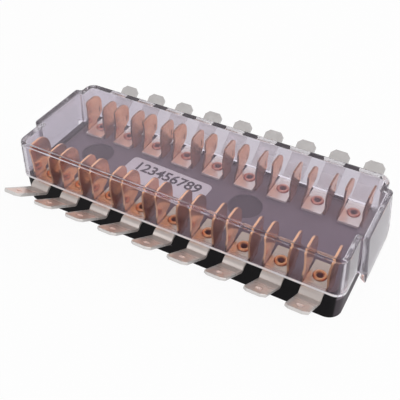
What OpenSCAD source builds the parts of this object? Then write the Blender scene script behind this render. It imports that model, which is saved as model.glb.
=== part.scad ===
// Fuse box for cylindrical fuses: two rows of spring clips on a moulded base, under a clear
// cover that lifts off. X runs along the rows, Y from the front row to the rear row, Z up.
// The origin is the centre of the base's bottom face.

/* [Ways] */
// Number of fuse ways
ways = 9; // [8:1:12]
// Distance from one way to the next
pitch = 11.2; // [10.2:0.1:14]
// Distance between the rivets of the front and the rear row
row_spacing = 26; // [24:0.5:34]

/* [Base] */
// Distance from the rivet row to the base's long face
side_margin = 6.2; // [6:0.1:9]
// Height of the deck above the bottom face
deck_z = 7.4; // [6:0.1:12]
// Thickness of the deck
deck_t = 2.8; // [2:0.1:4]
// Thickness of the base's side walls
base_wall = 2.2; // [1.6:0.1:3]
// Radius of the base's upright corners
base_corner_r = 4; // [2:0.1:6]
// Width of the catch that holds the cover's tongue
catch_w = 10; // [6:0.5:14]
// Height of the catch
catch_h = 1.4; // [0.8:0.1:2]

/* [Screw bosses] */
// Distance between the two screw bosses
screw_spacing = 54; // [40:0.5:60]
// Place of the middle of the bosses along the rows
screw_mid_x = -11.9; // [-14:0.1:-6]
// Place of the bosses across the rows
screw_y = 2; // [0:0.1:2.2]
// Diameter of the blind screw holes in the bottom
screw_d = 3.3; // [2.8:0.1:4]
// Thickness of the boss round a screw hole
boss_wall = 2.6; // [2:0.1:3.5]
// Thickness left above a screw hole
screw_roof = 1.2; // [0.8:0.1:2]
// Diameter of the round recess in the deck above a boss
recess_d = 10.6; // [9:0.1:11]
// Depth of the recess
recess_depth = 0.8; // [0.4:0.1:1.2]

/* [Terminals] */
// Width of the terminal strips
strip_w = 6.3; // [4.8:0.1:6.8]
// Thickness of the terminal strips
strip_t = 0.8; // [0.6:0.05:1]
// Length of strip inside the rivet
strip_inner = 5.1; // [3.5:0.1:5.5]
// How far the flat of the strip runs past the base's long face
strip_past = 0.6; // [0.4:0.1:1.5]
// How far the strip dips beside the base
dip = 1.3; // [0.8:0.1:2]
// Length of the blade tab from the dip to its tip
tab_len = 13.6; // [11:0.1:16]
// Slope of the blade tab
tab_slope = 35; // [20:1:45]
// Corner cut at the tab's tip
tab_cut = 1.3; // [0.8:0.1:1.8]
// Diameter of the hole in the tab
tab_hole_d = 1.8; // [1.4:0.1:2.2]
// Distance from the tab's tip to its hole
tab_hole_back = 4.1; // [3.4:0.1:5]

/* [Clips] */
// Thickness of the clip's sheet
clip_t = 0.6; // [0.4:0.05:0.7]
// Width of an ear along the fuse
ear_w = 7.6; // [6.5:0.1:8]
// Height of an ear above the deck
ear_h = 12.4; // [11:0.1:14]
// Radius of an ear's near top corner
ear_near_r = 1.2; // [0.6:0.1:2]
// Radius of an ear's far top corner
ear_far_r = 3.8; // [2.5:0.1:4.5]
// Height at which an ear's far edge begins to cut back
belly_z = 4.6; // [4:0.1:6]
// Height of an ear's free lower edge above the deck
free_z = 2.5; // [1.5:0.1:3]
// Length of the fold that joins an ear to the clip's floor
ear_root = 4.9; // [4:0.1:5.5]
// Height of the grip above the deck
grip_z = 6.4; // [5:0.1:8]
// How far an ear bows inwards at the grip
ear_bow = 0.35; // [0.1:0.05:0.6]
// How far an ear flares outwards at its top
ear_flare = 0.1; // [0:0.05:0.9]
// Length of the slit near an ear's far edge
slit_h = 2.2; // [1:0.1:3]
// Width of the slit
slit_w = 0.45; // [0.3:0.05:0.7]
// Distance from the slit to the ear's far edge
slit_back = 1.4; // [1:0.1:2]

/* [Rivets] */
// Diameter of the rivet's shank
rivet_d = 2.8; // [2.4:0.1:3]
// Diameter of the rivet's bore
rivet_bore = 2; // [1.4:0.1:2.1]
// Diameter of the rivet's heads
rivet_head_d = 4; // [3.6:0.1:4.2]
// Thickness of the rivet's heads
rivet_head_t = 0.5; // [0.3:0.05:0.7]

/* [Cover] */
// Thickness of the cover's walls and top
cover_wall = 1.5; // [1.2:0.1:1.8]
// Room between the ears' tops and the cover's top
top_room = 0.7; // [0.3:0.1:6]
// Room between the last ear and the cover's end wall
end_room = 1.9; // [0.3:0.05:6]
// Room between the strips and the cover's rim
rim_room = 0.2; // [0:0.05:1]
// How far the cover's long walls lean in towards the top
side_draft = 0.25; // [0:0.05:0.4]
// How far the cover's end walls lean in towards the top
end_draft = 0.9; // [0:0.05:1.2]
// How far the cover's end walls stand out past the base's ends
end_over = 0.5; // [0:0.05:0.8]
// Radius of the cover's upright corners
cover_corner_r = 3.2; // [2.4:0.1:4.5]
// Radius of the cover's top edges
cover_edge_r = 0.9; // [0.4:0.1:1.4]
// Width of the latch bulge at each end
bulge_w = 22; // [16:0.5:24]
// Place of the latch bulge across the rows
bulge_y = 2.7; // [0:0.1:3]
// How far the latch bulge stands out of the end wall at the rim
bulge_out = 2.6; // [2.4:0.1:4]
// How far the latch bulge leans in towards the top
bulge_draft = 1.5; // [0.5:0.1:2.2]
// Radius of the latch bulge's upright corners
bulge_r = 1.2; // [0.8:0.1:1.8]
// Length of the latch tongue below the rim
tongue_len = 4; // [3:0.1:5.5]
// How far the tongue's hook stands in
hook = 0.3; // [0.2:0.05:0.4]
// Height of the hook
hook_h = 1.1; // [0.8:0.1:1.4]

/* [Label] */
// Length of the label
label_l = 29.6; // [20:0.1:32]
// Height of the label
label_w = 11.4; // [8:0.1:12]
// Thickness of the label
label_t = 0.15; // [0.1:0.05:0.3]
// Radius of the label's corners
label_r = 1.6; // [0.5:0.1:3]
// Place of the label's centre along the rows
label_x = -12.3; // [-13:0.1:-9]
// Turn of the label on the deck
label_turn = -2.4; // [-4:0.1:4]

/* [Hidden] */
$fn = 48;
eps = 0.01;

// Clearances
slot_gap = 0.25;
fold_gap = 0.15;
rivet_gap = 0.05;
hook_gap = 0.2;
ear_gap = 0.3;

// Clips: the fold's place beside the strip, and how far the ears reach each way
fold_x = strip_w / 2 + fold_gap + clip_t / 2;
ear_reach = fold_x + ear_flare + clip_t / 2;
land_w = cover_wall + side_draft;
ear_outside = side_margin - land_w - ear_gap;
ear_inside = ear_w - ear_outside;
floor_past = rivet_head_d / 2 + ear_gap;

// Plan and levels of the base
row_y = row_spacing / 2;
end_margin = ear_reach + end_room + cover_wall + end_draft - end_over;
base_l = (ways - 1) * pitch + 2 * end_margin;
base_w = row_spacing + 2 * side_margin;
strip_z = deck_z + clip_t;
land_z = strip_z + strip_t + rim_room;
cavity_h = deck_z - deck_t;
screw_depth = deck_z - recess_depth - screw_roof;

// Plan and levels of the cover
cover_l = base_l + 2 * end_over;
cover_w = base_w;
cover_top = deck_z + ear_h + top_room + cover_wall;
cover_h = cover_top - land_z;

// Latch
tongue_z = land_z - tongue_len;
tongue_face = cover_l / 2 + bulge_out;
tongue_inner = tongue_face - cover_wall;
catch_out = tongue_inner - hook - hook_gap - base_l / 2;

// Place of way i along the rows
function way_x(i) = (i - (ways + 1) / 2) * pitch;

// Unit vector from point a to point b
function unit(a, b) = (b - a) / norm(b - a);

// Path whose inner corners are rounded over a length cut on both sides
function rounded(path, cut, steps = 5) = concat(
    [path[0]],
    [for (k = [1:len(path) - 2])
        let (
            a = path[k] - cut * unit(path[k - 1], path[k]),
            b = path[k] + cut * unit(path[k], path[k + 1])
        )
        for (j = [0:steps])
            let (t = j / steps)
            (1 - t)^2 * a + 2 * t * (1 - t) * path[k] + t^2 * b],
    [path[len(path) - 1]]
);

// Point beside a path's point k, so that the stretches on both sides keep their distance d
function beside(path, k, d) =
    let (
        n = len(path),
        a = unit(path[max(k - 1, 0)], path[max(k, 1)]),
        b = unit(path[min(k, n - 2)], path[min(k + 1, n - 1)]),
        normal = [-(a + b)[1], (a + b)[0]] / norm(a + b)
    )
    path[k] + normal * d / sqrt((1 + a * b) / 2);

// Outline of a sheet of thickness t whose middle follows the path
function ribbon(path, t) = concat(
    [for (k = [0:len(path) - 1]) beside(path, k, t / 2)],
    [for (k = [len(path) - 1:-1:0]) beside(path, k, -t / 2)]
);

// Rectangle with round corners, centred
module round_rect(l, w, r) {
    union() {
        square([l - 2 * r, w], center = true);
        square([l, w - 2 * r], center = true);
        for (x = [-1, 1], y = [-1, 1])
            translate([x * (l / 2 - r), y * (w / 2 - r)])
                circle(r);
    }
}

// Carries its children to each way of both rows, at the rivets
module at_rivets() {
    for (i = [1:ways], side = [-1, 1])
        translate([way_x(i), side * row_y, 0])
            children();
}

// Carries its children to the two screw bosses
module at_screws() {
    for (side = [-1, 1])
        translate([screw_mid_x + side * screw_spacing / 2, screw_y, 0])
            children();
}

// Its children, and their mirror image across X
module both_ends() {
    for (side = [0, 1])
        mirror([side, 0, 0])
            children();
}

// Wedge on the base's right end face that the cover's tongue clicks over
module catch() {
    translate([base_l / 2, bulge_y + catch_w / 2, tongue_z + hook_h + hook_gap])
        rotate([90, 0, 0])
            linear_extrude(catch_w)
                polygon([[-eps, 0], [catch_out, 0], [catch_out, catch_h / 3], [-eps, catch_h]]);
}

// Block of the base, recessed above the deck and hollow below it
module base_shell() {
    difference() {
        linear_extrude(land_z)
            round_rect(base_l, base_w, base_corner_r);
        translate([0, 0, deck_z])
            linear_extrude(land_z)
                round_rect(base_l - 2 * land_w, base_w - 2 * land_w, base_corner_r - land_w / 2);
        translate([0, 0, -eps])
            linear_extrude(cavity_h + eps)
                round_rect(base_l - 2 * base_wall, base_w - 2 * base_wall, base_corner_r - base_wall / 2);
    }
}

// Black moulded base
module base() {
    color("#1d1b1e")
        difference() {
            union() {
                base_shell();
                at_screws()
                    cylinder(d = screw_d + 2 * boss_wall, h = cavity_h + eps);
                both_ends()
                    catch();
            }
            for (i = [1:ways])
                translate([way_x(i) - strip_w / 2 - slot_gap, -base_w / 2 - eps, strip_z])
                    cube([strip_w + 2 * slot_gap, base_w + 2 * eps, land_z]);
            at_rivets()
                translate([0, 0, cavity_h - eps])
                    cylinder(d = rivet_d + 2 * rivet_gap, h = deck_t + 2 * eps);
            at_screws() {
                translate([0, 0, -eps])
                    cylinder(d = screw_d, h = screw_depth + eps);
                translate([0, 0, deck_z - recess_depth])
                    cylinder(d = recess_d, h = recess_depth + eps);
            }
        }
}

// Plan of the cover's body, shrunk all round by inset; lean is 0 at the top and 1 at the rim
module cover_plan(inset, lean) {
    round_rect(
        cover_l - 2 * inset - 2 * end_draft * (1 - lean),
        cover_w - 2 * inset - 2 * side_draft * (1 - lean),
        max(cover_corner_r - inset, cover_edge_r / 2),
        $fn = 32
    );
}

// Plan of the latch bulge at the right end, with the corners on its outside round
module bulge_plan(inset, lean) {
    reach = tongue_face - inset - bulge_draft * (1 - lean);
    start = cover_l / 2 - 4 * cover_wall;
    half_w = bulge_w / 2 - inset;
    r = max(bulge_r - inset, cover_edge_r / 2);
    translate([0, bulge_y]) {
        translate([start, -half_w])
            square([reach - r - start, 2 * half_w]);
        translate([start, -half_w + r])
            square([reach - start, 2 * half_w - 2 * r]);
        for (side = [-1, 1])
            translate([reach - r, side * (half_w - r)])
                circle(r, $fn = 32);
    }
}

// Thin slice of the cover's body up to height z
module body_slice(inset, z) {
    translate([0, 0, z - eps])
        linear_extrude(eps)
            cover_plan(inset, (cover_top - z) / cover_h);
}

// Thin slice of the latch bulge up to height z
module bulge_slice(inset, z) {
    translate([0, 0, z - eps])
        linear_extrude(eps)
            bulge_plan(inset, (cover_top - z) / cover_h);
}

// Outside of the cover, or the hollow in it: from height z0 up to z1, shrunk by inset, with
// top edges of radius r
module cover_form(inset, z0, z1, r) {
    hull() {
        body_slice(inset, z0);
        for (a = [0:22.5:90])
            body_slice(inset + r * (1 - cos(a)), z1 - r * (1 - sin(a)));
    }
    both_ends()
        hull() {
            bulge_slice(inset, z0);
            for (a = [0:22.5:90])
                bulge_slice(inset + r * (1 - cos(a)), z1 - r * (1 - sin(a)));
        }
}

// Tongue below the rim at the right end, with the hook that clicks under the base's catch
module tongue() {
    half_w = bulge_w / 2 - bulge_r;
    translate([0, bulge_y + half_w, 0])
        rotate([90, 0, 0])
            linear_extrude(2 * half_w)
                polygon([
                    [tongue_inner, land_z + eps],
                    [tongue_inner, tongue_z + 2 * hook_h],
                    [tongue_inner - hook, tongue_z + hook_h],
                    [tongue_inner - hook, tongue_z + hook_h / 2],
                    [tongue_inner, tongue_z],
                    [tongue_face - hook, tongue_z],
                    [tongue_face, tongue_z + hook],
                    [tongue_face, land_z + eps]
                ]);
}

// Clear cover, open below
module cover() {
    color("#e8e6ee", 0.35)
        union() {
            difference() {
                cover_form(0, land_z + eps, cover_top, cover_edge_r);
                cover_form(cover_wall, land_z - cover_wall, cover_top - cover_wall, cover_edge_r / 2);
            }
            both_ends()
                tongue();
        }
}

// Tinned strip with its blade tab, for a rear way; y is measured from the rivet
module terminal() {
    bend_y = side_margin + strip_past;
    mid = strip_z + strip_t / 2;
    low = [bend_y + dip, mid - dip];
    tip = low + tab_len * [cos(tab_slope), sin(tab_slope)];
    path = rounded([[-strip_inner, mid], [bend_y, mid], low, tip], dip / 2);
    past = strip_t;
    difference() {
        translate([-strip_w / 2, 0, 0])
            rotate([90, 0, 90])
                linear_extrude(strip_w)
                    polygon(ribbon(path, strip_t));
        cylinder(d = rivet_d + 2 * rivet_gap, h = cover_top);
        translate([0, tip[0], tip[1]])
            rotate([tab_slope, 0, 0]) {
                translate([0, -tab_hole_back, -strip_t])
                    cylinder(d = tab_hole_d, h = 2 * strip_t);
                both_ends()
                    translate([strip_w / 2, 0, -strip_t])
                        linear_extrude(2 * strip_t)
                            polygon([[-tab_cut - past, past], [past, -tab_cut - past], [past, past]]);
            }
    }
}

// Outline of an ear seen along the row: upright near edge, a top that falls in a wide round to the
// far edge, which cuts back below the belly and hangs free of the floor beyond the fold
module ear_outline() {
    chin_y = (ear_w + ear_root) / 2;
    polygon([
        [0, 0],
        [0, ear_h - ear_near_r],
        [ear_near_r, ear_h],
        [ear_w - ear_far_r, ear_h],
        [ear_w, ear_h - ear_far_r],
        [ear_w, belly_z],
        [chin_y, free_z + clip_t],
        [ear_root, free_z],
        [ear_root, 0]
    ]);
    translate([ear_near_r, ear_h - ear_near_r])
        circle(ear_near_r);
    translate([ear_w - ear_far_r, ear_h - ear_far_r])
        circle(ear_far_r);
}

// Middle of the right ear's sheet at height z: it bows in at the grip and flares at the top
function ear_x(z) =
    let (
        rise = max(z - free_z, 0) / (grip_z - free_z),
        top = max(z - grip_z, 0) / (ear_h - grip_z),
        bow = z < grip_z ? rise^2 * (3 - 2 * rise) : 1 - top^2
    )
    fold_x - ear_bow * bow + ear_flare * top^2;

// Copper clip; y is measured from the rivet, with the ears' near edge at -near
module clip(near) {
    steps = 8;
    right = [for (k = [0:steps]) let (z = free_z + (ear_h - free_z) * k / steps) [ear_x(z), z]];
    above = [ear_x(ear_h) + ear_flare / 4, ear_h + 2 * clip_t];
    half = concat([[fold_x, clip_t / 2]], right, [above]);
    left = [for (k = [len(half) - 1:-1:0]) [-half[k][0], half[k][1]]];
    translate([0, 0, deck_z])
        difference() {
            union() {
                intersection() {
                    rotate([90, 0, 0])
                        linear_extrude(4 * ear_w, center = true)
                            polygon(ribbon(concat(left, half), clip_t));
                    translate([-2 * ear_reach, -near, 0])
                        rotate([90, 0, 90])
                            linear_extrude(4 * ear_reach)
                                ear_outline();
                }
                translate([-strip_w / 2, -near, 0])
                    cube([strip_w, near + floor_past, clip_t]);
            }
            translate([0, 0, -eps])
                cylinder(d = rivet_d + 2 * rivet_gap, h = clip_t + 2 * eps);
            translate([0, ear_w - near - slit_back, grip_z])
                cube([4 * ear_reach, slit_w, slit_h], center = true);
        }
}

// Copper eyelet through strip, clip and deck, with a rolled head above and a flat one below
module rivet() {
    bottom = cavity_h - rivet_head_t;
    top = strip_z + strip_t + rivet_head_t;
    head_r = rivet_head_d / 2;
    bore_r = rivet_bore / 2;
    rotate_extrude()
        difference() {
            union() {
                translate([bore_r, bottom])
                    square([rivet_d / 2 - bore_r, top - bottom]);
                translate([bore_r, top - rivet_head_t])
                    square([head_r - rivet_head_t - bore_r, rivet_head_t]);
                translate([head_r - rivet_head_t, top - rivet_head_t])
                    intersection() {
                        circle(rivet_head_t);
                        square(rivet_head_t);
                    }
                translate([bore_r, bottom])
                    square([head_r - bore_r, rivet_head_t]);
            }
            translate([bore_r, top])
                circle(rivet_head_t / 2);
        }
}

// All eyelets
module rivets() {
    color("#b06a4a")
        at_rivets()
            rivet();
}

// White paper label on the deck between the rows
module label() {
    color("#d8d4da")
        translate([label_x, 0, deck_z])
            rotate([0, 0, label_turn])
                linear_extrude(label_t)
                    round_rect(label_l, label_w, label_r);
}

// Terminal of way i in the front row, turned to face the front
module front_terminal(i) {
    color("#c4bfbb")
        translate([way_x(i), -row_y, 0])
            mirror([0, 1, 0])
                terminal();
}

// Terminal of way i in the rear row
module rear_terminal(i) {
    color("#c4bfbb")
        translate([way_x(i), row_y, 0])
            terminal();
}

// Clip of way i in the front row
module front_clip(i) {
    color("#b8876f")
        translate([way_x(i), -row_y, 0])
            clip(ear_outside);
}

// Clip of way i in the rear row
module rear_clip(i) {
    color("#b8876f")
        translate([way_x(i), row_y, 0])
            clip(ear_inside);
}

base();
cover();
rivets();
label();
for (i = [1:ways]) {
    front_terminal(i);
    rear_terminal(i);
    front_clip(i);
    rear_clip(i);
}
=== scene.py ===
from math import cos, radians, sin

import bmesh
import bpy
from mathutils import Matrix, Vector


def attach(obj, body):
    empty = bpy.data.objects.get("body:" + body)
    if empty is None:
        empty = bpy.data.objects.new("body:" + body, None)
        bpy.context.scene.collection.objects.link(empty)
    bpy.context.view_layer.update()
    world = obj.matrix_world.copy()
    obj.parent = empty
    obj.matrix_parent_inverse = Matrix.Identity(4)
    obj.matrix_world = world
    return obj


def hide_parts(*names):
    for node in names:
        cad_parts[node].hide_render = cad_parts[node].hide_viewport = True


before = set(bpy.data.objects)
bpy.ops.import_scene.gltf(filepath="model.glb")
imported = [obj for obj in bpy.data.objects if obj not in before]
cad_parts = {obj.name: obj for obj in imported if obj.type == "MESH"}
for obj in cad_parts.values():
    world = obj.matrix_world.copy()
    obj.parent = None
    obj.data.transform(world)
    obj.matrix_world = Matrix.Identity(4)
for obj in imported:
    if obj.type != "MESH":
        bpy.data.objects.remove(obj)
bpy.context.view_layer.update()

MM = 0.001
WAYS = range(1, 10)
MIDDLE_WAY = 5
ROWS = ("front", "rear")

# Cover sizes, as in the part's source, in mm
RIM_Z = 9.0
TOP_Z = 22.0
HALF_LENGTH = 53.1
HALF_WIDTH = 19.2
END_DRAFT = 0.9
SIDE_DRAFT = 0.25
WALL = 1.5
CORNER_R = 3.2
TOP_EDGE_R = 0.9
BULGE_FACE = 55.7
BULGE_Y = 2.7
BULGE_HALF_WIDTH = 11.0
BULGE_DRAFT = 1.5
BULGE_R = 1.2
STEP_R = 0.7
TONGUE_Z = 5.0
HOOK = 0.3
HOOK_HEIGHT = 1.1
RIM_LIFT = 0.03
RIM_EDGE = 0.06

# Label sizes, as in the part's source, in mm
LABEL_X = -12.3
LABEL_TURN = -2.4
LABEL_TOP_Z = 7.55
NUMERAL_HEIGHT = 3.9
NUMERAL_HEIGHT_SHARE = 0.7
NUMERAL_SPACING = 2.7
NUMERAL_Y = 2.0
NUMERAL_WEIGHT = 0.12
NUMERAL_STEPS = 4
INK_THICKNESS = 0.02

# Edge breaks left by the press tools and the mould, in mm
SHEET_EDGE = 0.12
MOULD_EDGE = 0.25
EYELET_LIP = 0.22

# Points closer than the first are one point, and a point nearer a level than the second lies on it, in mm
WELD = 0.001
NEAR = 0.01

# Turns between two faces, in degrees: below the first they are one face, above the second a node's edge
# is broken, above the third an edge shades sharp, and is broken on the cover
FLAT_TURN = 0.5
BROKEN_TURN = 40
SHARP_TURN = 50

# Steps round a broken edge, an upright corner and a top edge
BREAK_STEPS = 2
CORNER_STEPS = 6
TOP_EDGE_STEPS = 5

# Viewing angle fitted to the photo, in degrees, with the aim, the distance and the lens in mm
AZIMUTH = 29.45
ELEVATION = 42.12
ROLL = -0.64
AIM = (2.92, -3.94, 10.0)
DISTANCE = 189.77
SENSOR_WIDTH = 36
LENS = 57.25

# Height that the lamps aim at and the floor's place below the base, in mm
LAMP_AIM_Z = 10.0
FLOOR_DROP = 0.2

# Slanted line along which a mesh's points are ordered, so that each run welds them alike
SORT_LINE = Vector((1.0, 0.37, 0.11))

# Heights of the ears' feet and tops, how far the rear ears lean to the right at their tops, and the
# distance from way to way, in mm
EAR_FOOT_Z = 8.0
EAR_TOP_Z = 19.8
LEFT_EAR_LEAN = 1.0
RIGHT_EAR_LEAN = 0.5
PITCH = 11.2


# Linear colour of an sRGB hex value
def hex_colour(value, alpha=1.0):
    channels = [int(value[i:i + 2], 16) / 255 for i in (1, 3, 5)]
    linear = [c / 12.92 if c <= 0.04045 else ((c + 0.055) / 1.055) ** 2.4 for c in channels]
    return (*linear, alpha)


# Adds a node to a tree; each input takes a value or another node's output socket
def add_node(tree, kind, inputs=None, **settings):
    node = tree.nodes.new(kind)
    for name, value in settings.items():
        setattr(node, name, value)
    for name, value in (inputs or {}).items():
        if isinstance(value, bpy.types.NodeSocket):
            tree.links.new(value, node.inputs[name])
        else:
            node.inputs[name].default_value = value
    return node


# New material with an empty tree and its object coordinates
def new_material(name):
    material = bpy.data.materials.new(name)
    material.use_nodes = True
    tree = material.node_tree
    tree.nodes.clear()
    place = add_node(tree, "ShaderNodeTexCoord").outputs["Object"]
    return material, tree, place


# Sends a shader to the material's output
def finish_material(tree, shader):
    add_node(tree, "ShaderNodeOutputMaterial", {"Surface": shader})


# Scale of a texture whose grains are about size mm across
def grain_scale(size):
    return 1 / (size * MM)


# Black phenolic, compression moulded: near-black and satin, with faint clouds and pale specks of dust,
# and a painted grey sheen of the overhead light on the deck
def moulded_phenolic():
    material, tree, place = new_material("moulded_phenolic")
    cloud = add_node(tree, "ShaderNodeTexNoise",
                     {"Vector": place, "Scale": grain_scale(6), "Detail": 4.0, "Roughness": 0.6})
    specks = add_node(tree, "ShaderNodeTexVoronoi", {"Vector": place, "Scale": grain_scale(2.4)})
    dust = add_node(tree, "ShaderNodeMapRange",
                    {"Value": specks.outputs["Distance"], "From Min": 0.05, "From Max": 0.09,
                     "To Min": 1.0, "To Max": 0.0})
    sparse = add_node(tree, "ShaderNodeMapRange",
                      {"Value": cloud.outputs["Fac"], "From Min": 0.52, "From Max": 0.6})
    shown = add_node(tree, "ShaderNodeMath",
                     {0: dust.outputs[0], 1: sparse.outputs[0]}, operation="MULTIPLY")
    body = add_node(tree, "ShaderNodeMix",
                    {"Factor": cloud.outputs["Fac"], "A": hex_colour("#0e0c0f"),
                     "B": hex_colour("#161417")},
                    data_type="RGBA")
    axes = add_node(tree, "ShaderNodeSeparateXYZ", {"Vector": place})
    facing = add_node(tree, "ShaderNodeSeparateXYZ",
                      {"Vector": add_node(tree, "ShaderNodeNewGeometry").outputs["Normal"]})
    # Painted sheen: below the deck's top, faces turned up and all faces within the cover are painted grey
    # for the overhead light's satin sheen, less on the lower level
    upward = add_node(tree, "ShaderNodeMapRange",
                      {"Value": facing.outputs["Z"], "From Min": 0.7, "From Max": 0.95})
    level = add_node(tree, "ShaderNodeMapRange",
                     {"Value": axes.outputs["Z"], "From Min": 6.9 * MM, "From Max": 7.3 * MM,
                      "To Min": 0.35})
    below = add_node(tree, "ShaderNodeMapRange",
                     {"Value": axes.outputs["Z"], "From Min": 8.2 * MM, "From Max": 7.8 * MM})
    deck = add_node(tree, "ShaderNodeMath",
                    {0: level.outputs[0], 1: below.outputs[0]}, operation="MULTIPLY")
    depth = add_node(tree, "ShaderNodeMath", {0: axes.outputs["Y"]}, operation="ABSOLUTE")
    within = add_node(tree, "ShaderNodeMapRange",
                      {"Value": depth.outputs[0], "From Min": 18.4 * MM, "From Max": 18.0 * MM})
    shown_side = add_node(tree, "ShaderNodeMath",
                          {0: upward.outputs[0], 1: within.outputs[0]}, operation="MAXIMUM")
    painted_sheen = add_node(tree, "ShaderNodeMath",
                   {0: deck.outputs[0], 1: shown_side.outputs[0]}, operation="MULTIPLY")
    painted_sheen_colour = add_node(tree, "ShaderNodeMix",
                     {"Factor": painted_sheen.outputs[0], "A": body.outputs["Result"], "B": hex_colour("#7a7078")},
                     data_type="RGBA")
    colour = add_node(tree, "ShaderNodeMix",
                      {"Factor": shown.outputs[0], "A": painted_sheen_colour.outputs["Result"],
                       "B": hex_colour("#8a858c")},
                      data_type="RGBA")
    rough = add_node(tree, "ShaderNodeMapRange",
                     {"Value": cloud.outputs["Fac"], "To Min": 0.36, "To Max": 0.52})
    fine = add_node(tree, "ShaderNodeTexNoise",
                    {"Vector": place, "Scale": grain_scale(0.35), "Detail": 2.0})
    bump = add_node(tree, "ShaderNodeBump",
                    {"Height": fine.outputs["Fac"], "Strength": 0.15, "Distance": 0.03 * MM})
    shader = add_node(tree, "ShaderNodeBsdfPrincipled",
                      {"Base Color": colour.outputs["Result"], "Roughness": rough.outputs[0],
                       "IOR": 1.55, "Specular IOR Level": 0.05, "Normal": bump.outputs["Normal"]})
    finish_material(tree, shader.outputs["BSDF"])
    return material
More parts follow.
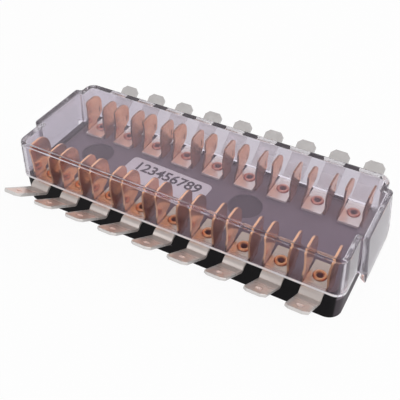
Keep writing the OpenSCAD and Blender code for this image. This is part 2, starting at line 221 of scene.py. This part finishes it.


# Clear polystyrene, injection moulded: glossy and faintly violet, a little frosted at the ends, with a
# frosted front rim painted white as its highlight and painted shade along the top edges; it lets the lamps
# light what is inside
def clear_polystyrene():
    material, tree, place = new_material("clear_polystyrene")
    flow = add_node(tree, "ShaderNodeTexNoise",
                    {"Vector": place, "Scale": grain_scale(14), "Detail": 2.0})
    bump = add_node(tree, "ShaderNodeBump",
                    {"Height": flow.outputs["Fac"], "Strength": 0.05, "Distance": 0.2 * MM})
    axes = add_node(tree, "ShaderNodeSeparateXYZ", {"Vector": place})
    reach = add_node(tree, "ShaderNodeMath", {0: axes.outputs["X"]}, operation="ABSOLUTE")
    ends = add_node(tree, "ShaderNodeMapRange",
                    {"Value": reach.outputs[0], "From Min": 50.4 * MM, "From Max": 51.4 * MM,
                     "To Max": 0.07})
    # Painted highlight: a frosted band low along the front rim and the front corners of the ends is painted
    # white for the rim's bright line
    low = add_node(tree, "ShaderNodeMapRange",
                   {"Value": axes.outputs["Z"], "From Min": 10.1 * MM, "From Max": 9.8 * MM,
                    "To Max": 0.85})
    front = add_node(tree, "ShaderNodeMapRange",
                     {"Value": axes.outputs["Y"], "From Min": -18.6 * MM, "From Max": -18.9 * MM})
    tips = add_node(tree, "ShaderNodeMapRange",
                    {"Value": reach.outputs[0], "From Min": 52.3 * MM, "From Max": 52.6 * MM})
    fore = add_node(tree, "ShaderNodeMapRange",
                    {"Value": axes.outputs["Y"], "From Min": -9 * MM, "From Max": -10 * MM})
    corner = add_node(tree, "ShaderNodeMath",
                      {0: tips.outputs[0], 1: fore.outputs[0]}, operation="MULTIPLY")
    outside = add_node(tree, "ShaderNodeMath",
                       {0: front.outputs[0], 1: corner.outputs[0]}, operation="MAXIMUM")
    painted_rim_highlight = add_node(tree, "ShaderNodeMath", {0: low.outputs[0], 1: outside.outputs[0]}, operation="MULTIPLY")
    # Painted shade: the top edges are tinted dark along the rear, along the left end and, fainter, along
    # the front
    back = add_node(tree, "ShaderNodeMapRange",
                    {"Value": axes.outputs["Y"], "From Min": 18.1 * MM, "From Max": 18.5 * MM})
    near = add_node(tree, "ShaderNodeMapRange",
                    {"Value": axes.outputs["Y"], "From Min": -18.1 * MM, "From Max": -18.5 * MM,
                     "To Max": 0.35})
    side = add_node(tree, "ShaderNodeMath", {0: back.outputs[0], 1: near.outputs[0]}, operation="MAXIMUM")
    far_end = add_node(tree, "ShaderNodeMapRange",
                       {"Value": axes.outputs["X"], "From Min": -51.4 * MM, "From Max": -51.8 * MM})
    outer = add_node(tree, "ShaderNodeMath",
                     {0: side.outputs[0], 1: far_end.outputs[0]}, operation="MAXIMUM")
    high = add_node(tree, "ShaderNodeMapRange",
                    {"Value": axes.outputs["Z"], "From Min": 20.9 * MM, "From Max": 21.3 * MM})
    edge = add_node(tree, "ShaderNodeMath", {0: outer.outputs[0], 1: high.outputs[0]}, operation="MULTIPLY")
    frost_and_rim_highlight = add_node(tree, "ShaderNodeMath", {0: ends.outputs[0], 1: painted_rim_highlight.outputs[0]}, operation="MAXIMUM")
    clear = add_node(tree, "ShaderNodeMath", {0: 1.0, 1: frost_and_rim_highlight.outputs[0]}, operation="SUBTRACT")
    rough = add_node(tree, "ShaderNodeMapRange",
                     {"Value": frost_and_rim_highlight.outputs[0], "From Max": 0.07, "To Min": 0.02, "To Max": 0.14})
    rear = add_node(tree, "ShaderNodeMapRange",
                    {"Value": axes.outputs["Y"], "From Min": 16.9 * MM, "From Max": 17.3 * MM})
    far_side = add_node(tree, "ShaderNodeMapRange",
                        {"Value": axes.outputs["X"], "From Min": -45 * MM, "From Max": -10 * MM})
    pale = add_node(tree, "ShaderNodeMath",
                    {0: rear.outputs[0], 1: far_side.outputs[0]}, operation="MULTIPLY")
    tint = add_node(tree, "ShaderNodeMix",
                    {"Factor": pale.outputs[0], "A": hex_colour("#d6d2da"), "B": hex_colour("#e8e6ea")},
                    data_type="RGBA")
    body = add_node(tree, "ShaderNodeMix",
                    {"Factor": edge.outputs[0], "A": tint.outputs["Result"], "B": hex_colour("#6c676e")},
                    data_type="RGBA")
    colour = add_node(tree, "ShaderNodeMix",
                      {"Factor": painted_rim_highlight.outputs[0], "A": body.outputs["Result"], "B": hex_colour("#fdfcfe")},
                      data_type="RGBA")
    shader = add_node(tree, "ShaderNodeBsdfPrincipled",
                      {"Base Color": colour.outputs["Result"], "Roughness": rough.outputs[0], "IOR": 1.59,
                       "Specular Tint": hex_colour("#d2b8ce"), "Transmission Weight": clear.outputs[0],
                       "Normal": bump.outputs["Normal"]})
    through = add_node(tree, "ShaderNodeBsdfTransparent")
    path = add_node(tree, "ShaderNodeLightPath")
    lit = add_node(tree, "ShaderNodeMixShader",
                   {0: path.outputs["Is Shadow Ray"], 1: shader.outputs["BSDF"],
                    2: through.outputs["BSDF"]})
    in_wall = add_node(tree, "ShaderNodeMath",
                       {0: path.outputs["Transmission Depth"], 1: 2.0}, operation="MODULO")
    from_inside = add_node(tree, "ShaderNodeMixShader",
                           {0: in_wall.outputs[0], 1: through.outputs["BSDF"], 2: shader.outputs["BSDF"]})
    mirrored = add_node(tree, "ShaderNodeMixShader",
                        {0: path.outputs["Is Transmission Ray"], 1: from_inside.outputs["Shader"],
                         2: shader.outputs["BSDF"]})
    glass = add_node(tree, "ShaderNodeMixShader",
                     {0: path.outputs["Is Glossy Ray"], 1: lit.outputs["Shader"],
                      2: mirrored.outputs["Shader"]})
    finish_material(tree, glass.outputs["Shader"])
    return material


# Copper alloy strip, rolled and blanked: warm pinkish copper with fine rolling lines, faint tarnish and
# painted light and shade on its edges
def rolled_copper():
    material, tree, place = new_material("rolled_copper")
    stretch = add_node(tree, "ShaderNodeMapping", {"Vector": place, "Scale": (1.0, 0.08, 1.0)})
    lines = add_node(tree, "ShaderNodeTexNoise",
                     {"Vector": stretch.outputs["Vector"], "Scale": grain_scale(0.3), "Detail": 3.0})
    tarnish = add_node(tree, "ShaderNodeTexNoise",
                       {"Vector": place, "Scale": grain_scale(3.5), "Detail": 4.0, "Roughness": 0.6})
    tint = add_node(tree, "ShaderNodeMapRange",
                    {"Value": tarnish.outputs["Fac"], "From Min": 0.35, "From Max": 0.68})
    colour = add_node(tree, "ShaderNodeMix",
                      {"Factor": tint.outputs[0], "A": hex_colour("#ebaa80"), "B": hex_colour("#d48b60")},
                      data_type="RGBA")
    # Painted light: faces that don't face sideways, the ears' edges above all, are painted golden as a
    # highlight in the front row and dark brown as shade in the rear row
    facing = add_node(tree, "ShaderNodeSeparateXYZ",
                      {"Vector": add_node(tree, "ShaderNodeNewGeometry").outputs["Normal"]})
    across = add_node(tree, "ShaderNodeMath", {0: facing.outputs["X"]}, operation="ABSOLUTE")
    painted_edge_faces = add_node(tree, "ShaderNodeMapRange",
                       {"Value": across.outputs[0], "From Min": 0.8, "From Max": 0.4})
    row = add_node(tree, "ShaderNodeSeparateXYZ", {"Vector": place})
    front_row = add_node(tree, "ShaderNodeMapRange",
                    {"Value": row.outputs["Y"], "From Min": 2 * MM, "From Max": -2 * MM})
    painted_edge_light_and_shade = add_node(tree, "ShaderNodeMix",
                    {"Factor": front_row.outputs[0], "A": hex_colour("#8f5f40"), "B": hex_colour("#e8b48a")},
                    data_type="RGBA")
    finish = add_node(tree, "ShaderNodeMix",
                      {"Factor": painted_edge_faces.outputs[0], "A": colour.outputs["Result"],
                       "B": painted_edge_light_and_shade.outputs["Result"]},
                      data_type="RGBA")
    film = add_node(tree, "ShaderNodeMapRange", {"Value": front_row.outputs[0], "To Min": 0.75, "To Max": 0.92})
    rough = add_node(tree, "ShaderNodeMapRange",
                     {"Value": lines.outputs["Fac"], "To Min": 0.15, "To Max": 0.3})
    bump = add_node(tree, "ShaderNodeBump",
                    {"Height": lines.outputs["Fac"], "Strength": 0.2, "Distance": 0.02 * MM})
    shader = add_node(tree, "ShaderNodeBsdfPrincipled",
                      {"Base Color": finish.outputs["Result"], "Metallic": film.outputs[0],
                       "Roughness": rough.outputs[0], "Normal": bump.outputs["Normal"]})
    finish_material(tree, shader.outputs["BSDF"])
    return material


# Copper eyelet, drawn and rolled over: golden in the front row, pinker in the rear one,
# dark red in its bore
def drawn_copper():
    material, tree, place = new_material("drawn_copper")
    mottle = add_node(tree, "ShaderNodeTexNoise",
                      {"Vector": place, "Scale": grain_scale(0.8), "Detail": 3.0})
    golden = add_node(tree, "ShaderNodeMix",
                      {"Factor": mottle.outputs["Fac"], "A": hex_colour("#e0a87c"),
                       "B": hex_colour("#c4885e")},
                      data_type="RGBA")
    pink = add_node(tree, "ShaderNodeMix",
                    {"Factor": mottle.outputs["Fac"], "A": hex_colour("#cc9686"),
                     "B": hex_colour("#a87264")},
                    data_type="RGBA")
    axes = add_node(tree, "ShaderNodeSeparateXYZ", {"Vector": place})
    row = add_node(tree, "ShaderNodeMapRange",
                   {"Value": axes.outputs["Y"], "From Min": 2 * MM, "From Max": -2 * MM})
    ring = add_node(tree, "ShaderNodeMix",
                    {"Factor": row.outputs[0], "A": pink.outputs["Result"], "B": golden.outputs["Result"]},
                    data_type="RGBA")
    bore = add_node(tree, "ShaderNodeMapRange",
                    {"Value": axes.outputs["Z"], "From Min": 9.15 * MM, "From Max": 8.8 * MM})
    colour = add_node(tree, "ShaderNodeMix",
                      {"Factor": bore.outputs[0], "A": ring.outputs["Result"], "B": hex_colour("#9c4a38")},
                      data_type="RGBA")
    bright = add_node(tree, "ShaderNodeMapRange", {"Value": bore.outputs[0], "To Min": 1.0, "To Max": 0.4})
    rough = add_node(tree, "ShaderNodeMapRange",
                     {"Value": mottle.outputs["Fac"], "To Min": 0.22, "To Max": 0.4})
    shader = add_node(tree, "ShaderNodeBsdfPrincipled",
                      {"Base Color": colour.outputs["Result"], "Metallic": bright.outputs[0],
                       "Roughness": rough.outputs[0]})
    finish_material(tree, shader.outputs["BSDF"])
    return material


# Tin-plated brass strip: semi-bright grey with a soft mottle; the rear row painted paler, with painted
# highlights behind the rear wall, the front row painted darker, and a painted pink reflection of copper on
# the front tabs
def tinned_brass():
    material, tree, place = new_material("tinned_brass")
    mottle = add_node(tree, "ShaderNodeTexNoise",
                      {"Vector": place, "Scale": grain_scale(2.2), "Detail": 4.0, "Roughness": 0.55})
    axes = add_node(tree, "ShaderNodeSeparateXYZ", {"Vector": place})
    reach = add_node(tree, "ShaderNodeMath", {0: axes.outputs["Y"]}, operation="ABSOLUTE")
    aside = add_node(tree, "ShaderNodeMath",
                     {0: axes.outputs["X"], 1: PITCH / 2 * MM}, operation="PINGPONG")
    row = add_node(tree, "ShaderNodeMapRange",
                   {"Value": axes.outputs["Y"], "From Min": 2 * MM, "From Max": -2 * MM})
    past_wall = add_node(tree, "ShaderNodeMapRange",
                         {"Value": reach.outputs[0], "From Min": 16 * MM, "From Max": 18 * MM})
    past_bend = add_node(tree, "ShaderNodeMapRange",
                         {"Value": reach.outputs[0], "From Min": 24 * MM, "From Max": 26 * MM})
    # Painted light and shade: inside the cover the rear row's strip is painted paler and the front row's
    # darker
    rear_strip = add_node(tree, "ShaderNodeMix",
                          {"Factor": mottle.outputs["Fac"], "A": hex_colour("#e6deda"),
                           "B": hex_colour("#cec5bf")},
                          data_type="RGBA")
    front_strip = add_node(tree, "ShaderNodeMix",
                           {"Factor": mottle.outputs["Fac"], "A": hex_colour("#c2b6a8"),
                            "B": hex_colour("#aa9e92")},
                           data_type="RGBA")
    strip = add_node(tree, "ShaderNodeMix",
                     {"Factor": row.outputs[0], "A": rear_strip.outputs["Result"],
                      "B": front_strip.outputs["Result"]}, data_type="RGBA")
    # Painted highlight: the rear tab is painted near-white from its foot, greyer towards its tip
    rear_tip = add_node(tree, "ShaderNodeMix",
                        {"Factor": mottle.outputs["Fac"], "A": hex_colour("#d0cdcc"),
                         "B": hex_colour("#b8b4b3")},
                        data_type="RGBA")
    past_foot = add_node(tree, "ShaderNodeMapRange",
                         {"Value": reach.outputs[0], "From Min": 27 * MM, "From Max": 28.5 * MM})
    rear_tab = add_node(tree, "ShaderNodeMix",
                        {"Factor": past_foot.outputs[0], "A": hex_colour("#f4f2f2"),
                         "B": rear_tip.outputs["Result"]},
                        data_type="RGBA")
    # Painted reflection: the middle of each front tab is painted pink for the copper it mirrors, more on
    # the left
    inside_edge = add_node(tree, "ShaderNodeMapRange",
                           {"Value": aside.outputs[0], "From Min": 2.8 * MM, "From Max": 2.0 * MM})
    inside_tip = add_node(tree, "ShaderNodeMapRange",
                          {"Value": reach.outputs[0], "From Min": 31.8 * MM, "From Max": 31.2 * MM})
    middle = add_node(tree, "ShaderNodeMath",
                      {0: inside_edge.outputs[0], 1: inside_tip.outputs[0]}, operation="MULTIPLY")
    painted_reflection_fade = add_node(tree, "ShaderNodeMapRange",
                   {"Value": axes.outputs["X"], "From Min": -45 * MM, "From Max": 45 * MM,
                    "To Min": 0.75, "To Max": 0.35})
    painted_copper_reflection = add_node(tree, "ShaderNodeMath",
                      {0: middle.outputs[0], 1: painted_reflection_fade.outputs[0]}, operation="MULTIPLY")
    front_tab = add_node(tree, "ShaderNodeMix",
                         {"Factor": painted_copper_reflection.outputs[0], "A": hex_colour("#d8d4d2"),
                          "B": hex_colour("#eec4b6")},
                         data_type="RGBA")
    tab = add_node(tree, "ShaderNodeMix",
                   {"Factor": row.outputs[0], "A": rear_tab.outputs["Result"],
                    "B": front_tab.outputs["Result"]},
                   data_type="RGBA")
    # Painted light and shade: the bends past the walls are painted near-white as a highlight in the rear
    # row, darker grey in the front row
    bends = add_node(tree, "ShaderNodeMix",
                     {"Factor": row.outputs[0], "A": hex_colour("#f4f2f2"), "B": hex_colour("#b8afab")},
                     data_type="RGBA")
    outer = add_node(tree, "ShaderNodeMix",
                     {"Factor": past_bend.outputs[0], "A": bends.outputs["Result"],
                      "B": tab.outputs["Result"]},
                     data_type="RGBA")
    colour = add_node(tree, "ShaderNodeMix",
                      {"Factor": past_wall.outputs[0], "A": strip.outputs["Result"],
                       "B": outer.outputs["Result"]},
                      data_type="RGBA")
    bent = add_node(tree, "ShaderNodeMath",
                    {0: past_wall.outputs[0], 1: past_bend.outputs[0]}, operation="SUBTRACT")
    dull = add_node(tree, "ShaderNodeMapRange", {"Value": bent.outputs[0], "To Min": 0.15, "To Max": 0.3})
    rough = add_node(tree, "ShaderNodeMath",
                     {0: mottle.outputs["Fac"], 1: 0.12, 2: dull.outputs[0]}, operation="MULTIPLY_ADD")
    polish = add_node(tree, "ShaderNodeMapRange", {"Value": row.outputs[0], "To Min": 0.5, "To Max": 0.75})
    bright = add_node(tree, "ShaderNodeMapRange",
                      {"Value": past_wall.outputs[0], "To Min": polish.outputs[0], "To Max": 0.4})
    fine = add_node(tree, "ShaderNodeTexNoise", {"Vector": place, "Scale": grain_scale(0.4), "Detail": 2.0})
    bump = add_node(tree, "ShaderNodeBump",
                    {"Height": fine.outputs["Fac"], "Strength": 0.12, "Distance": 0.02 * MM})
    shader = add_node(tree, "ShaderNodeBsdfPrincipled",
                      {"Base Color": colour.outputs["Result"], "Metallic": bright.outputs[0],
                       "Roughness": rough.outputs[0], "Normal": bump.outputs["Normal"]})
    finish_material(tree, shader.outputs["BSDF"])
    return material


# Coated label paper: matt white with a faint fibre mottle
def label_paper():
    material, tree, place = new_material("label_paper")
    fibre = add_node(tree, "ShaderNodeTexNoise",
                     {"Vector": place, "Scale": grain_scale(0.7), "Detail": 4.0})
    colour = add_node(tree, "ShaderNodeMix",
                      {"Factor": fibre.outputs["Fac"], "A": hex_colour("#f1eff3"),
                       "B": hex_colour("#e3e0e6")},
                      data_type="RGBA")
    shader = add_node(tree, "ShaderNodeBsdfPrincipled",
                      {"Base Color": colour.outputs["Result"], "Roughness": 0.55})
    finish_material(tree, shader.outputs["BSDF"])
    return material


# Printing ink: matt blue-black, a little uneven where the ribbon printed thin
def printing_ink():
    material, tree, place = new_material("printing_ink")
    wear = add_node(tree, "ShaderNodeTexNoise", {"Vector": place, "Scale": grain_scale(0.9), "Detail": 3.0})
    colour = add_node(tree, "ShaderNodeMix",
                      {"Factor": wear.outputs["Fac"], "A": hex_colour("#14121c"),
                       "B": hex_colour("#2c2a38")},
                      data_type="RGBA")
    shader = add_node(tree, "ShaderNodeBsdfPrincipled",
                      {"Base Color": colour.outputs["Result"], "Roughness": 0.6})
    finish_material(tree, shader.outputs["BSDF"])
    return material


# Makes an object of a bmesh, with its doubled points welded, riding on a body and taking a finish
def make_piece(bm, name, material, body):
    bm.verts.sort(key=lambda vert: vert.co.dot(SORT_LINE))
    bmesh.ops.remove_doubles(bm, verts=bm.verts, dist=WELD * MM)
    bmesh.ops.dissolve_degenerate(bm, dist=WELD * MM, edges=bm.edges)
    mesh = bpy.data.meshes.new(name)
    bm.to_mesh(mesh)
    bm.free()
    piece = bpy.data.objects.new(name, mesh)
    bpy.context.scene.collection.objects.link(piece)
    mesh.materials.append(material)
    mesh.shade_smooth()
    mesh.set_sharp_from_angle(angle=radians(SHARP_TURN))
    piece.modifiers.new("flat_faces", "WEIGHTED_NORMAL").keep_sharp = True
    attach(piece, body)
    return piece


# Rounds edges by a size in mm, in so many steps
def round_edges(bm, edges, size, steps):
    bmesh.ops.bevel(bm, geom=edges, offset=size * MM, offset_type="OFFSET", segments=steps, profile=0.5,
                    affect="EDGES", clamp_overlap=True, material=-1)


# Copy of a CAD node with its sharp edges broken, in place of the node
def softened(node, name, edge, material):
    bm = bmesh.new()
    bm.from_mesh(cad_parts[node].data)
    bmesh.ops.remove_doubles(bm, verts=bm.verts, dist=WELD * MM)
    bmesh.ops.dissolve_limit(bm, angle_limit=radians(FLAT_TURN), verts=bm.verts, edges=bm.edges)
    sharp = [e for e in bm.edges if e.is_manifold and e.calc_face_angle() > radians(BROKEN_TURN)]
    round_edges(bm, sharp, edge, BREAK_STEPS)
    piece = make_piece(bm, name, material, "box")
    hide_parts(node)
    return piece


# Leans the two ears of a rear clip, as use has left them
def lean_ears(clip, way):
    middle = (way - MIDDLE_WAY) * PITCH * MM
    for vert in clip.data.vertices:
        rise = max(vert.co.z / MM - EAR_FOOT_Z, 0) / (EAR_TOP_Z - EAR_FOOT_Z)
        vert.co.x += (LEFT_EAR_LEAN if vert.co.x < middle else RIGHT_EAR_LEAN) * rise * MM


# Corner points of the cover's plan at height z, shrunk by inset; lean is 0 at the top and 1 at the rim
def cover_plan(inset, z):
    lean = (TOP_Z - z) / (TOP_Z - RIM_Z)
    x = HALF_LENGTH - inset - END_DRAFT * (1 - lean)
    y = HALF_WIDTH - inset - SIDE_DRAFT * (1 - lean)
    face = BULGE_FACE - inset - BULGE_DRAFT * (1 - lean)
    low = BULGE_Y - BULGE_HALF_WIDTH + inset
    high = BULGE_Y + BULGE_HALF_WIDTH - inset
    right = [(x, -y), (x, low), (face, low), (face, high), (x, high), (x, y)]
    left = [(-px, py) for px, py in reversed(right)]
    return [Vector((px, py, z)) * MM for px, py in right + left]


# The cover's outside or the hollow in it, open below, with round upright corners and top edges
def cover_form(inset, low_z, high_z, top_r):
    bm = bmesh.new()
    floor = bm.faces.new([bm.verts.new(p) for p in cover_plan(inset, low_z)])
    floor_verts = list(floor.verts)
    raised = bmesh.ops.extrude_face_region(bm, geom=[floor], use_keep_orig=True)
    tops = cover_plan(inset, high_z)
    for vert in [g for g in raised["geom"] if isinstance(g, bmesh.types.BMVert)]:
        index = min(range(len(tops)), key=lambda i: (floor_verts[i].co - vert.co).length)
        vert.co = tops[index]
    bmesh.ops.recalc_face_normals(bm, faces=bm.faces)
    uprights = [e for e in bm.edges if abs(e.verts[0].co.z - e.verts[1].co.z) > MM]
    corner_y = (HALF_WIDTH - inset - SIDE_DRAFT - NEAR) * MM
    outer_x = (BULGE_FACE - inset - BULGE_DRAFT - NEAR) * MM
    corners = [e for e in uprights if all(abs(v.co.y) > corner_y for v in e.verts)]
    fronts = [e for e in uprights if e not in corners and all(abs(v.co.x) > outer_x for v in e.verts)]
    steps = [e for e in uprights if e not in corners and e not in fronts]
    front_r = max(BULGE_R - inset, TOP_EDGE_R / 2)
    for edges, radius in ((corners, CORNER_R - inset), (fronts, front_r), (steps, STEP_R)):
        round_edges(bm, edges, radius, CORNER_STEPS)
    top_edges = [e for e in bm.edges if all(v.co.z > (high_z - NEAR) * MM for v in e.verts)]
    round_edges(bm, top_edges, top_r, TOP_EDGE_STEPS)
    bottoms = [f for f in bm.faces if all(v.co.z < (low_z + NEAR) * MM for v in f.verts)]
    bmesh.ops.delete(bm, geom=bottoms, context="FACES")
    return bm


# Clear cover: an outer and an inner form joined at the rim, with a hooked tongue below each bulge
def clear_cover(material):
    rim_z = RIM_Z + RIM_LIFT
    bm = cover_form(0, rim_z, TOP_Z, TOP_EDGE_R)
    hollow = cover_form(WALL, rim_z + WALL, TOP_Z - WALL, TOP_EDGE_R / 2)
    scratch = bpy.data.meshes.new("hollow")
    hollow.to_mesh(scratch)
    hollow.free()
    bm.from_mesh(scratch)
    bpy.data.meshes.remove(scratch)
    open_edges = [e for e in bm.edges if e.is_boundary]
    rim_verts = {v for e in open_edges for v in e.verts}
    bmesh.ops.bridge_loops(bm, edges=open_edges)
    for vert in rim_verts:
        vert.co.z = rim_z * MM
    bmesh.ops.recalc_face_normals(bm, faces=bm.faces)
    roots = [f for f in bm.faces
             if f.normal.z < -0.9 and abs(f.calc_center_median().x) > HALF_LENGTH * MM
             and max(e.calc_length() for e in f.edges) > BULGE_HALF_WIDTH * MM]
    # The right tongue is made first, because the order shows in the rounding of their edges
    roots.sort(key=lambda f: -f.calc_center_median().x)
    # Heights down the tongue, with how far its hook stands in and how far its outer edge is cut back
    stations = [(TONGUE_Z + 2 * HOOK_HEIGHT, 0.0, 0.0), (TONGUE_Z + HOOK_HEIGHT, HOOK, 0.0),
                (TONGUE_Z + HOOK_HEIGHT / 2, HOOK, 0.0),
                (TONGUE_Z + HOOK, 2 * HOOK * HOOK / HOOK_HEIGHT, 0.0), (TONGUE_Z, 0.0, HOOK)]
    for root in roots:
        side = 1 if root.calc_center_median().x > 0 else -1
        inner = side * (BULGE_FACE - WALL) * MM
        middle = side * (BULGE_FACE - WALL / 2) * MM
        face = root
        for z, inwards, cut in stations:
            face = bmesh.ops.extrude_discrete_faces(bm, faces=[face])["faces"][0]
            for vert in face.verts:
                vert.co.z = z * MM
                if (vert.co.x - middle) * side < 0:
                    vert.co.x = inner - side * inwards * MM
                else:
                    vert.co.x -= side * cut * MM
    sharp = [e for e in bm.edges if e.is_manifold and e.calc_face_angle() > radians(SHARP_TURN)]
    round_edges(bm, sharp, RIM_EDGE, BREAK_STEPS)
    piece = make_piece(bm, "clear_cover", material, "lid")
    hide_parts("cover")


# Way numbers printed on the label
def way_numbers(material):
    bm = bmesh.new()
    for way in WAYS:
        curve = bpy.data.curves.new("numeral", "FONT")
        curve.body = str(way)
        curve.size = NUMERAL_HEIGHT / NUMERAL_HEIGHT_SHARE * MM
        curve.align_x = "CENTER"
        curve.align_y = "CENTER"
        curve.offset = NUMERAL_WEIGHT * MM
        curve.extrude = INK_THICKNESS / 2 * MM
        curve.resolution_u = NUMERAL_STEPS
        holder = bpy.data.objects.new("numeral", curve)
        bpy.context.scene.collection.objects.link(holder)
        bpy.context.view_layer.update()
        shape = bpy.data.meshes.new_from_object(holder.evaluated_get(bpy.context.evaluated_depsgraph_get()))
        shape.transform(Matrix.Translation(((way - MIDDLE_WAY) * NUMERAL_SPACING * MM, 0, 0)))
        bm.from_mesh(shape)
        bpy.data.objects.remove(holder)
        bpy.data.curves.remove(curve)
        bpy.data.meshes.remove(shape)
    place = Matrix.Translation((LABEL_X * MM, 0, (LABEL_TOP_Z + INK_THICKNESS / 2) * MM))
    turn = Matrix.Rotation(radians(LABEL_TURN), 4, "Z")
    lift = Matrix.Translation((0, NUMERAL_Y * MM, 0))
    bmesh.ops.transform(bm, matrix=place @ turn @ lift, verts=bm.verts)
    make_piece(bm, "way_numbers", material, "box")


# The camera, from the photo's fitted viewing angle
def photo_camera():
    azimuth = radians(AZIMUTH)
    elevation = radians(ELEVATION)
    roll = radians(ROLL)
    back = Vector((sin(azimuth) * cos(elevation), -cos(azimuth) * cos(elevation), sin(elevation)))
    right = Vector((0, 0, 1)).cross(back).normalized()
    up = back.cross(right)
    turned_right = cos(roll) * right + sin(roll) * up
    turned_up = cos(roll) * up - sin(roll) * right
    place = Vector(AIM) * MM + back * DISTANCE * MM
    data = bpy.data.cameras.new("photo_camera")
    data.sensor_width = SENSOR_WIDTH
    data.lens = LENS
    data.clip_start = 0.01
    camera = bpy.data.objects.new("photo_camera", data)
    rotation = Matrix((turned_right, turned_up, back)).transposed().to_4x4()
    camera.matrix_world = Matrix.Translation(place) @ rotation
    bpy.context.scene.collection.objects.link(camera)
    bpy.context.scene.camera = camera


# A square soft box aimed at the middle of the object
def soft_box(name, place, size, power):
    data = bpy.data.lights.new(name, "AREA")
    data.shape = "SQUARE"
    data.size = size
    data.energy = power
    lamp = bpy.data.objects.new(name, data)
    lamp.location = place
    aim = Vector((0, 0, LAMP_AIM_Z * MM)) - Vector(place)
    lamp.rotation_euler = aim.to_track_quat("-Z", "Y").to_euler()
    bpy.context.scene.collection.objects.link(lamp)


# One where the ray comes from the camera, a reflection or a clear wall, and zero elsewhere
def seen_directly(tree):
    path = add_node(tree, "ShaderNodeLightPath")
    mirrored = add_node(tree, "ShaderNodeMath",
                        {0: path.outputs["Is Camera Ray"], 1: path.outputs["Is Glossy Ray"]},
                        operation="MAXIMUM")
    both = add_node(tree, "ShaderNodeMath",
                    {0: mirrored.outputs[0], 1: path.outputs["Is Transmission Ray"]}, operation="MAXIMUM")
    return both.outputs[0]


# White surroundings that light the object softly
def white_world():
    world = bpy.data.worlds.new("white_world")
    world.use_nodes = True
    tree = world.node_tree
    tree.nodes.clear()
    level = add_node(tree, "ShaderNodeMapRange",
                     {"Value": seen_directly(tree), "To Min": 0.5, "To Max": 1.0})
    sky = add_node(tree, "ShaderNodeBackground", {"Color": (1, 1, 1, 1), "Strength": level.outputs[0]})
    add_node(tree, "ShaderNodeOutputWorld", {"Surface": sky.outputs["Background"]})
    bpy.context.scene.world = world


# White studio floor: looks white from the camera and keeps a faint shadow
def studio_floor():
    material, tree, _ = new_material("studio_floor")
    matt = add_node(tree, "ShaderNodeBsdfDiffuse", {"Color": (0.85, 0.85, 0.85, 1)})
    glow = add_node(tree, "ShaderNodeEmission", {"Color": (1, 1, 1, 1), "Strength": 1.0})
    path = add_node(tree, "ShaderNodeLightPath")
    level = add_node(tree, "ShaderNodeMapRange",
                     {"Value": path.outputs["Is Reflection Ray"], "To Min": 0.95, "To Max": 0.55})
    share = add_node(tree, "ShaderNodeMath",
                     {0: seen_directly(tree), 1: level.outputs[0]}, operation="MULTIPLY")
    mixed = add_node(tree, "ShaderNodeMixShader",
                     {0: share.outputs[0], 1: matt.outputs["BSDF"], 2: glow.outputs["Emission"]})
    finish_material(tree, mixed.outputs["Shader"])
    bm = bmesh.new()
    bmesh.ops.create_grid(bm, x_segments=1, y_segments=1, size=3.0)
    mesh = bpy.data.meshes.new("studio_floor")
    bm.to_mesh(mesh)
    bm.free()
    mesh.materials.append(material)
    floor = bpy.data.objects.new("studio_floor", mesh)
    floor.location.z = -FLOOR_DROP * MM
    bpy.context.scene.collection.objects.link(floor)


phenolic = moulded_phenolic()
polystyrene = clear_polystyrene()
copper = rolled_copper()
eyelet = drawn_copper()
tin = tinned_brass()
paper = label_paper()
ink = printing_ink()

softened("base", "moulded_base", MOULD_EDGE, phenolic)
for row in ROWS:
    for way in WAYS:
        softened(f"{row}_terminal_{way}", f"{row}_blade_{way}", SHEET_EDGE, tin)
        clip = softened(f"{row}_clip_{way}", f"{row}_spring_clip_{way}", SHEET_EDGE, copper)
        if row == "rear":
            lean_ears(clip, way)
softened("rivets", "eyelets", EYELET_LIP, eyelet)
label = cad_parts["label"].data
label.materials.clear()
label.materials.append(paper)
clear_cover(polystyrene)
way_numbers(ink)

photo_camera()
soft_box("back_light", (-0.29, 0.52, 0.54), 0.7, 0.6)
soft_box("far_light", (0.4, 0.3, 0.45), 0.4, 0.8)
soft_box("left_light", (-0.21, -0.43, 0.35), 0.15, 0.4)
soft_box("right_light", (0.5, -0.12, 0.3), 0.3, 0.8)
white_world()
studio_floor()

bpy.context.scene.view_settings.view_transform = "Standard"
